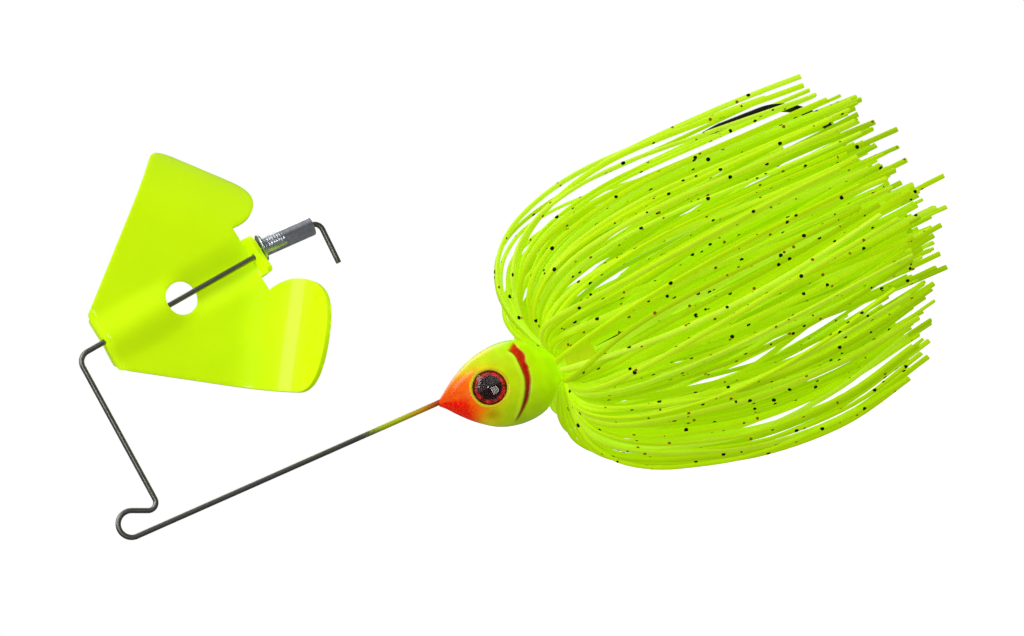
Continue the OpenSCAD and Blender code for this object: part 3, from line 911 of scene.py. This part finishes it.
def build_head():
    """The cast head: a fish-like lofted body with gill slits, eye sockets and a parting line."""
    stations = spline(HEAD_SECTIONS, 14)
    sides = 144
    angle = np.arange(sides) * 2 * math.pi / sides
    power = 2 / 2.15
    across = np.sign(np.cos(angle)) * np.abs(np.cos(angle)) ** power
    up = np.sign(np.sin(angle)) * np.abs(np.sin(angle)) ** power
    rings = []
    for x, top, bottom, half in stations:
        middle, tall = (top + bottom) / 2, (top - bottom) / 2
        rings.append(np.stack([np.full(sides, x), half * across, middle + tall * up], axis=1))
    rings = np.array(rings)
    from_seam = np.minimum(np.abs(angle - math.pi / 2), np.abs(angle - 1.5 * math.pi))
    seam = np.exp(-(np.degrees(from_seam) / 2) ** 2)
    on_body = smoothstep(56, 58, stations[:, 0]) * smoothstep(76, 74, stations[:, 0])
    rings[:, :, 2] += 0.09 * on_body[:, None] * (seam * np.sign(np.sin(angle)))[None, :]
    verts, faces = loft(rings)

    behind, share = gill_depth(verts)
    width = np.interp(share, [0, 0.15, 0.4, 0.75, 1], [1.8, 1.55, 1.15, 0.8, 0.1])
    width = width + 0.12 * np.sin(share * 40) * (share < 0.35)
    ends = smoothstep(0.0, 0.06, share) * smoothstep(1.0, 0.93, share)
    slit = smoothstep(-0.12, 0.12, behind) * smoothstep(width + 0.2, width - 0.1, behind) * ends
    side = np.abs(verts[:, 1]) > 0.8
    slit = slit * side
    lip = np.exp(-((behind + 0.3) / 0.3) ** 2) * ends * side
    inward = np.sign(verts[:, 1]) * (0.1 * lip - 0.38 * slit)
    colours = head_colours(verts)
    gill_top, gill_end = np.array(linear(206, 4, 4)[:3]), np.array(linear(96, 14, 6)[:3])
    red = gill_top * (1 - share[:, None]) + gill_end * share[:, None]
    colours = colours * (1 - slit[:, None]) + red * slit[:, None]
    # A dark line along the slit's front edge: painted shade where the surface steps down into the slit.
    gill_edge_shade = np.exp(-((behind - 0.02) / 0.14) ** 2) * ends * side * 0.75
    colours = colours * (1 - gill_edge_shade[:, None]) + np.array(linear(60, 20, 6)[:3]) * gill_edge_shade[:, None]
    # Pale colour on the raised lip in front of the slit: a painted highlight.
    colours = colours * (1 - 0.5 * lip[:, None]) + np.array(linear(226, 244, 60)[:3]) * 0.5 * lip[:, None]
    verts = verts + np.stack([np.zeros(len(verts)), inward, np.zeros(len(verts))], axis=1)

    for name in SIDES:
        centre, facing = eye_place(name)
        offset = verts - centre
        height = offset @ facing
        away = np.linalg.norm(offset - height[:, None] * facing, axis=1)
        socket = (away < EYE_R + 0.02) & (height > -2)
        verts = np.where(socket[:, None], verts - (height + 0.75)[:, None] * facing, verts)
    paint = np.concatenate([colours, np.ones((len(verts), 1))], axis=1)
    piece("painted_head", verts, faces, head_paint(), "frame", ["head"], {"paint": paint})


def build_eyes():
    """Foils keep their CAD shape. Each gets a domed lens, and the paint's raised rim around it."""
    foil, lens = eye_foil(), eye_lens()
    rim_paint = head_paint()
    for name in SIDES:
        disc = frame["nodes"]["eye_foil_" + name]
        disc.data.materials.clear()
        disc.data.materials.append(foil)
        centre, facing = eye_place(name)
        dome = [np.array([h, r]) for h, r in
                [(1.40 * (1 - q * q) + 0.25, EYE_R * q) for q in np.linspace(0.02, 0.985, 22)]]
        profile = dome + [np.array([0.26, EYE_R - 0.01]), np.array([0.26, 0.06])]
        verts, faces = lathe(profile, centre, facing, 72)
        made = piece("eye_dome_" + name, verts, faces, lens, "frame", ["eye_lens_" + name])
        sharpen(made, 35)
        ring = arc(np.array([0.32, EYE_R + 0.16]), 0.26, 0, 330, 12)
        verts, faces = lathe(ring, centre, facing, 72)
        gold = np.tile(linear(206, 190, 20), (len(verts), 1))
        piece("eye_rim_" + name, verts, faces, rim_paint, "frame", (), {"paint": gold})


# ---------------------------------------------------------------- collar and skirt

def build_collar():
    """The rubber band that grips the strands on the neck, with rounded shoulders."""
    lo, hi = (np.array(corner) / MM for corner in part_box("skirt_collar"))
    length = hi[0] - lo[0]
    outer, bore, round_r = (hi[2] - lo[2]) / 2, COLLAR_BORE, 0.9
    profile = [np.array([0.2, bore]), np.array([0.05, bore + 0.15])]
    profile += arc(np.array([round_r, outer - round_r]), round_r, 175, 90, 7)
    profile += [np.array([length * q, outer - 0.16 * math.sin(math.pi * q)]) for q in (0.35, 0.5, 0.65)]
    profile += arc(np.array([length - round_r, outer - round_r]), round_r, 90, 5, 7)
    profile += [np.array([length - 0.05, bore + 0.15]), np.array([length - 0.2, bore])]
    verts, faces = lathe(profile, (lo[0], 0, (lo[2] + hi[2]) / 2), (1, 0, 0))
    piece("rubber_collar", verts, faces, collar_rubber(), "frame", ["skirt_collar"])


def strand_section():
    """A rounded flat strip's section, one unit to each side."""
    angle = (np.arange(10) + 0.5) * 2 * math.pi / 10
    power = 2 / 3.2
    return np.stack([np.sign(np.cos(angle)) * np.abs(np.cos(angle)) ** power,
                     np.sign(np.sin(angle)) * np.abs(np.sin(angle)) ** power], axis=1)


def build_strand(rng, angle, layer, section, lean, extra):
    """Rings of one strand, from its rear tip through the collar and back over to its folded tip.

    layer goes from 0, outermost, to 1, innermost. lean turns the strand's ends about the shank, in
    degrees, and extra lengthens them.
    """
    low = (1 - math.cos(math.radians(angle))) / 2
    fold = np.array(FOLD_ABOVE, float) * (1 - low) + np.array(FOLD_BELOW, float) * low
    rear = np.array(REAR_HALF, float)
    size = 1 - 0.5 * layer
    fold[:, 0] = ROOT_X + (fold[:, 0] - ROOT_X) * np.where(fold[:, 0] < ROOT_X, size ** 0.6, 1)
    fold[1:, 0] += (np.linspace(0, 1, len(fold) - 1) ** 1.2) * (9 * layer + extra + rng.uniform(-2.5, 1.5))
    fold[1:, 1] = STRAND_RHO + (fold[1:, 1] - STRAND_RHO) * size
    rear_size = rng.uniform(0.25, 1.0)
    rear[:, 1] = STRAND_RHO + (rear[:, 1] - STRAND_RHO) * rear_size
    shift = rng.uniform(-8.0, 0.5) + extra / 2 - TOP_SHORTER * (1 - low)
    rear[:, 0] += np.linspace(1, 0, len(rear)) * shift
    middle_at = len(rear)
    path = np.vstack([rear, fold])
    steps = 6
    path = spline(path, steps)
    count = len(path)
    at = np.arange(count) / steps
    from_root = np.where(at < middle_at, (middle_at - at) / middle_at,
                         (at - middle_at) / (len(fold) - 1))

    reach = 1 / math.hypot(math.cos(math.radians(angle)), math.sin(math.radians(angle)) / SKIRT_FLAT)
    distance = STRAND_RHO + (path[:, 1] - STRAND_RHO) * reach
    x = ROOT_X + (path[:, 0] - ROOT_X) * (1 + SIDE_TRAIL * abs(math.sin(math.radians(angle))))
    sway = from_root ** 1.3
    phase, bends = rng.uniform(0, 2 * math.pi), rng.uniform(0.8, 1.7)
    flick = rng.uniform(-7, 7) * smoothstep(0.6, 1.0, from_root)
    waver = rng.uniform(2, 6) * np.sin(phase + bends * 5 * from_root)
    drift = flick + (lean + rng.uniform(-6, 6) + waver) * sway
    from_parting = abs(angle) - PARTING_ANGLE
    parted = math.copysign(PARTING_TURN, angle * from_parting) * math.exp(-(from_parting / 24) ** 2)
    parted = parted * (rng.random() < PARTING_SHARE)
    swing = np.radians(angle + drift + parted * np.exp(-(from_root / 0.6) ** 4))
    distance = distance + rng.uniform(0.3, 1.2) * sway * np.sin(phase * 1.7 + bends * 7 * from_root)
    distance = np.maximum(distance, STRAND_RHO - 0.4)
    if rng.random() < STRAY_SHARE:
        loose = smoothstep(0.62, 1.0, from_root)
        distance = distance - rng.uniform(1.0, 4.0) * loose
        swing = swing + math.radians(rng.choice((-1, 1)) * rng.uniform(9, 20)) * loose
        x = x + rng.uniform(2.0, 6.0) * loose
    x = np.minimum(x, TAIL_LIMIT_X)
    centre = np.stack([x, distance * np.sin(swing), distance * np.cos(swing) + SHANK_Z], axis=1)

    along = np.gradient(centre, axis=0)
    along /= np.linalg.norm(along, axis=1)[:, None]
    side = np.stack([np.zeros(count), np.cos(swing), -np.sin(swing)], axis=1)
    normal = np.cross(side, along)
    normal /= np.linalg.norm(normal, axis=1)[:, None]
    side = np.cross(along, normal)
    twist = rng.uniform(-1.4, 1.4) * sway + rng.uniform(-0.3, 0.3)
    wide = side * np.cos(twist)[:, None] + normal * np.sin(twist)[:, None]
    thick = normal * np.cos(twist)[:, None] - side * np.sin(twist)[:, None]
    freed = smoothstep(STRAND_RHO + 0.3, STRAND_RHO + 5, distance)
    half_w = ROOT_HALF_W + GAINED_HALF_W * freed
    half_t = ROOT_HALF_T + GAINED_HALF_T * freed
    rings = (centre[:, None, :]
             + section[None, :, 0, None] * (wide * half_w[:, None])[:, None, :]
             + section[None, :, 1, None] * (thick * half_t[:, None])[:, None, :])
    return rings


def build_bundle(name, angle, rng, finish):
    """One bundle: strands side by side and in layers, all gripped by the collar."""
    section = strand_section()
    width = (LAST_ANGLE - FIRST_ANGLE) / (BUNDLES_PER_SIDE - 1)
    sign = math.copysign(1, angle)
    verts, faces, tones_and_shade = [], [], []
    for i in range(STRANDS_PER_BUNDLE):
        if i % CLUMP == 0:
            lean, extra = rng.uniform(-11, 11), rng.uniform(-3.5, 2.5)
        share = (i + rng.uniform(0.2, 0.8)) / STRANDS_PER_BUNDLE - 0.5
        own = sign * min(max(abs(angle) + share * width, 9), 178)
        layer = ((i * 5 + 2) % STRANDS_PER_BUNDLE) / STRANDS_PER_BUNDLE * rng.uniform(0.7, 1.0)
        ring_verts, ring_faces = loft(build_strand(rng, own, layer, section, lean, extra))
        first = sum(len(v) for v in verts)
        verts.append(ring_verts)
        faces += [[first + k for k in f] for f in ring_faces]
        # Each strand's tone is random and lower on the inner layers: painted shade inside the bundle.
        tones_and_shade.append(np.full(len(ring_verts), np.clip(rng.gauss(0.6, 0.25) - 0.4 * layer, 0, 1)))
    made = piece("strands_" + name[len("skirt_bundle_"):], np.vstack(verts), faces, finish, "frame",
                 [name], {"tone": np.concatenate(tones_and_shade)})
    sharpen(made, 60)


def build_skirt():
    """Six bundles on each side, from near the top to near the bottom."""
    finish = skirt_silicone()
    rng = random.Random(11)
    for index in range(BUNDLES_PER_SIDE):
        angle = FIRST_ANGLE + (LAST_ANGLE - FIRST_ANGLE) * index / (BUNDLES_PER_SIDE - 1)
        for side_name, sign in SIDES.items():
            build_bundle(f"skirt_bundle_{side_name}_{index + 1}", sign * angle, rng, finish)


# ---------------------------------------------------------------- studio

AIM = Vector((0.07299, 0, 0.003006))
CAMERA_AZIMUTH = math.radians(14)
CAMERA_ROLL = math.radians(26)
CAMERA_DISTANCE = 0.7


def build_camera():
    """Level camera in front and a little to the nose's side, rolled so that the lure climbs."""
    towards = Vector((math.sin(CAMERA_AZIMUTH), math.cos(CAMERA_AZIMUTH), 0))
    right = Vector((math.cos(CAMERA_AZIMUTH), -math.sin(CAMERA_AZIMUTH), 0))
    up = Vector((0, 0, 1))
    image_x = right * math.cos(CAMERA_ROLL) - up * math.sin(CAMERA_ROLL)
    image_y = right * math.sin(CAMERA_ROLL) + up * math.cos(CAMERA_ROLL)
    turned = Matrix((image_x, image_y, -towards)).transposed().to_4x4()
    data = bpy.data.cameras.new("camera")
    data.lens = 146.4
    data.sensor_width = 36
    data.clip_start = 0.01
    made = bpy.data.objects.new("camera", data)
    made.matrix_world = Matrix.Translation(AIM - towards * CAMERA_DISTANCE) @ turned
    bpy.context.scene.collection.objects.link(made)
    bpy.context.scene.camera = made


def build_floor():
    """A pale floor a little way below the lure."""
    lowest = cad_box[0][2] - 0.06
    half = 6.0
    mesh = bpy.data.meshes.new("floor")
    corners = [(-half, -half, lowest), (half, -half, lowest), (half, half, lowest), (-half, half, lowest)]
    mesh.from_pydata(corners, [], [(0, 1, 2, 3)])
    made, _, shader = material("pale_floor", Roughness=0.9, Emission_Color=(1, 1, 1, 1),
                               Emission_Strength=0.95, Base_Color=(0.7, 0.7, 0.7, 1))
    shader.inputs["Specular IOR Level"].default_value = 0.0
    mesh.materials.append(made)
    floor = bpy.data.objects.new("floor", mesh)
    floor.visible_diffuse = False
    floor.visible_glossy = False
    bpy.context.scene.collection.objects.link(floor)


def build_world():
    """White behind the lure. What lights and reflects in it is bright overhead and dim at the sides."""
    world = bpy.data.worlds.new("studio")
    bpy.context.scene.world = world
    world.use_nodes = True
    tree = world.node_tree
    background = tree.nodes["Background"]
    heading = add(tree, "TexCoord").outputs["Generated"]
    height = add(tree, "SeparateXYZ", {0: heading}).outputs["Z"]
    sky = ramp(tree, height, [(0.0, (0.15, 0.15, 0.155, 1)), (0.35, (0.12, 0.12, 0.125, 1)),
                              (0.65, (0.2, 0.2, 0.205, 1)), (0.9, (0.4, 0.4, 0.4, 1))])
    seen = add(tree, "LightPath").outputs["Is Camera Ray"]
    tree.links.new(mix(tree, seen, sky, (1, 1, 1, 1)), background.inputs["Color"])


def add_light(name, direction, distance, size, watts, long_way=(0, 0, 1), mirrored=True):
    """A soft rectangular light that faces the lure, and shows in its shiny parts if mirrored."""
    data = bpy.data.lights.new(name, "AREA")
    data.shape = "RECTANGLE"
    data.size, data.size_y = size
    data.energy = watts
    made = bpy.data.objects.new(name, data)
    back = Vector(direction).normalized()
    tall = Vector(long_way)
    tall = (tall - back * tall.dot(back)).normalized()
    turned = Matrix((tall.cross(back), tall, back)).transposed().to_4x4()
    made.matrix_world = Matrix.Translation(AIM + back * distance) @ turned
    made.visible_glossy = mirrored
    bpy.context.scene.collection.objects.link(made)


def build_lights():
    """A strip that draws the stripe on the lower wing, and soft fills around it."""
    add_light("strip", (-0.66, -0.24, 0.70), 0.65, (0.24, 0.6), 2.3, (0.62, 0, 0.79))
    add_light("front_box", (0.1, -0.62, 0.78), 0.85, (1.1, 0.9), 1.6, mirrored=False)
    add_light("low_front", (-0.37, -0.88, 0.12), 0.9, (0.22, 0.22), 1.3)
    add_light("right_box", (0.85, -0.3, 0.42), 0.8, (0.25, 0.5), 0.6, mirrored=False)
    add_light("back_box", (0.1, 0.7, 0.7), 0.85, (0.6, 0.5), 2.0)


bpy.context.scene.view_settings.view_transform = "Standard"
build_camera()
build_floor()
build_world()
build_lights()
build_wire()
build_blade()
build_rivet()
build_hook()
build_head()
build_eyes()
build_collar()
build_skirt()
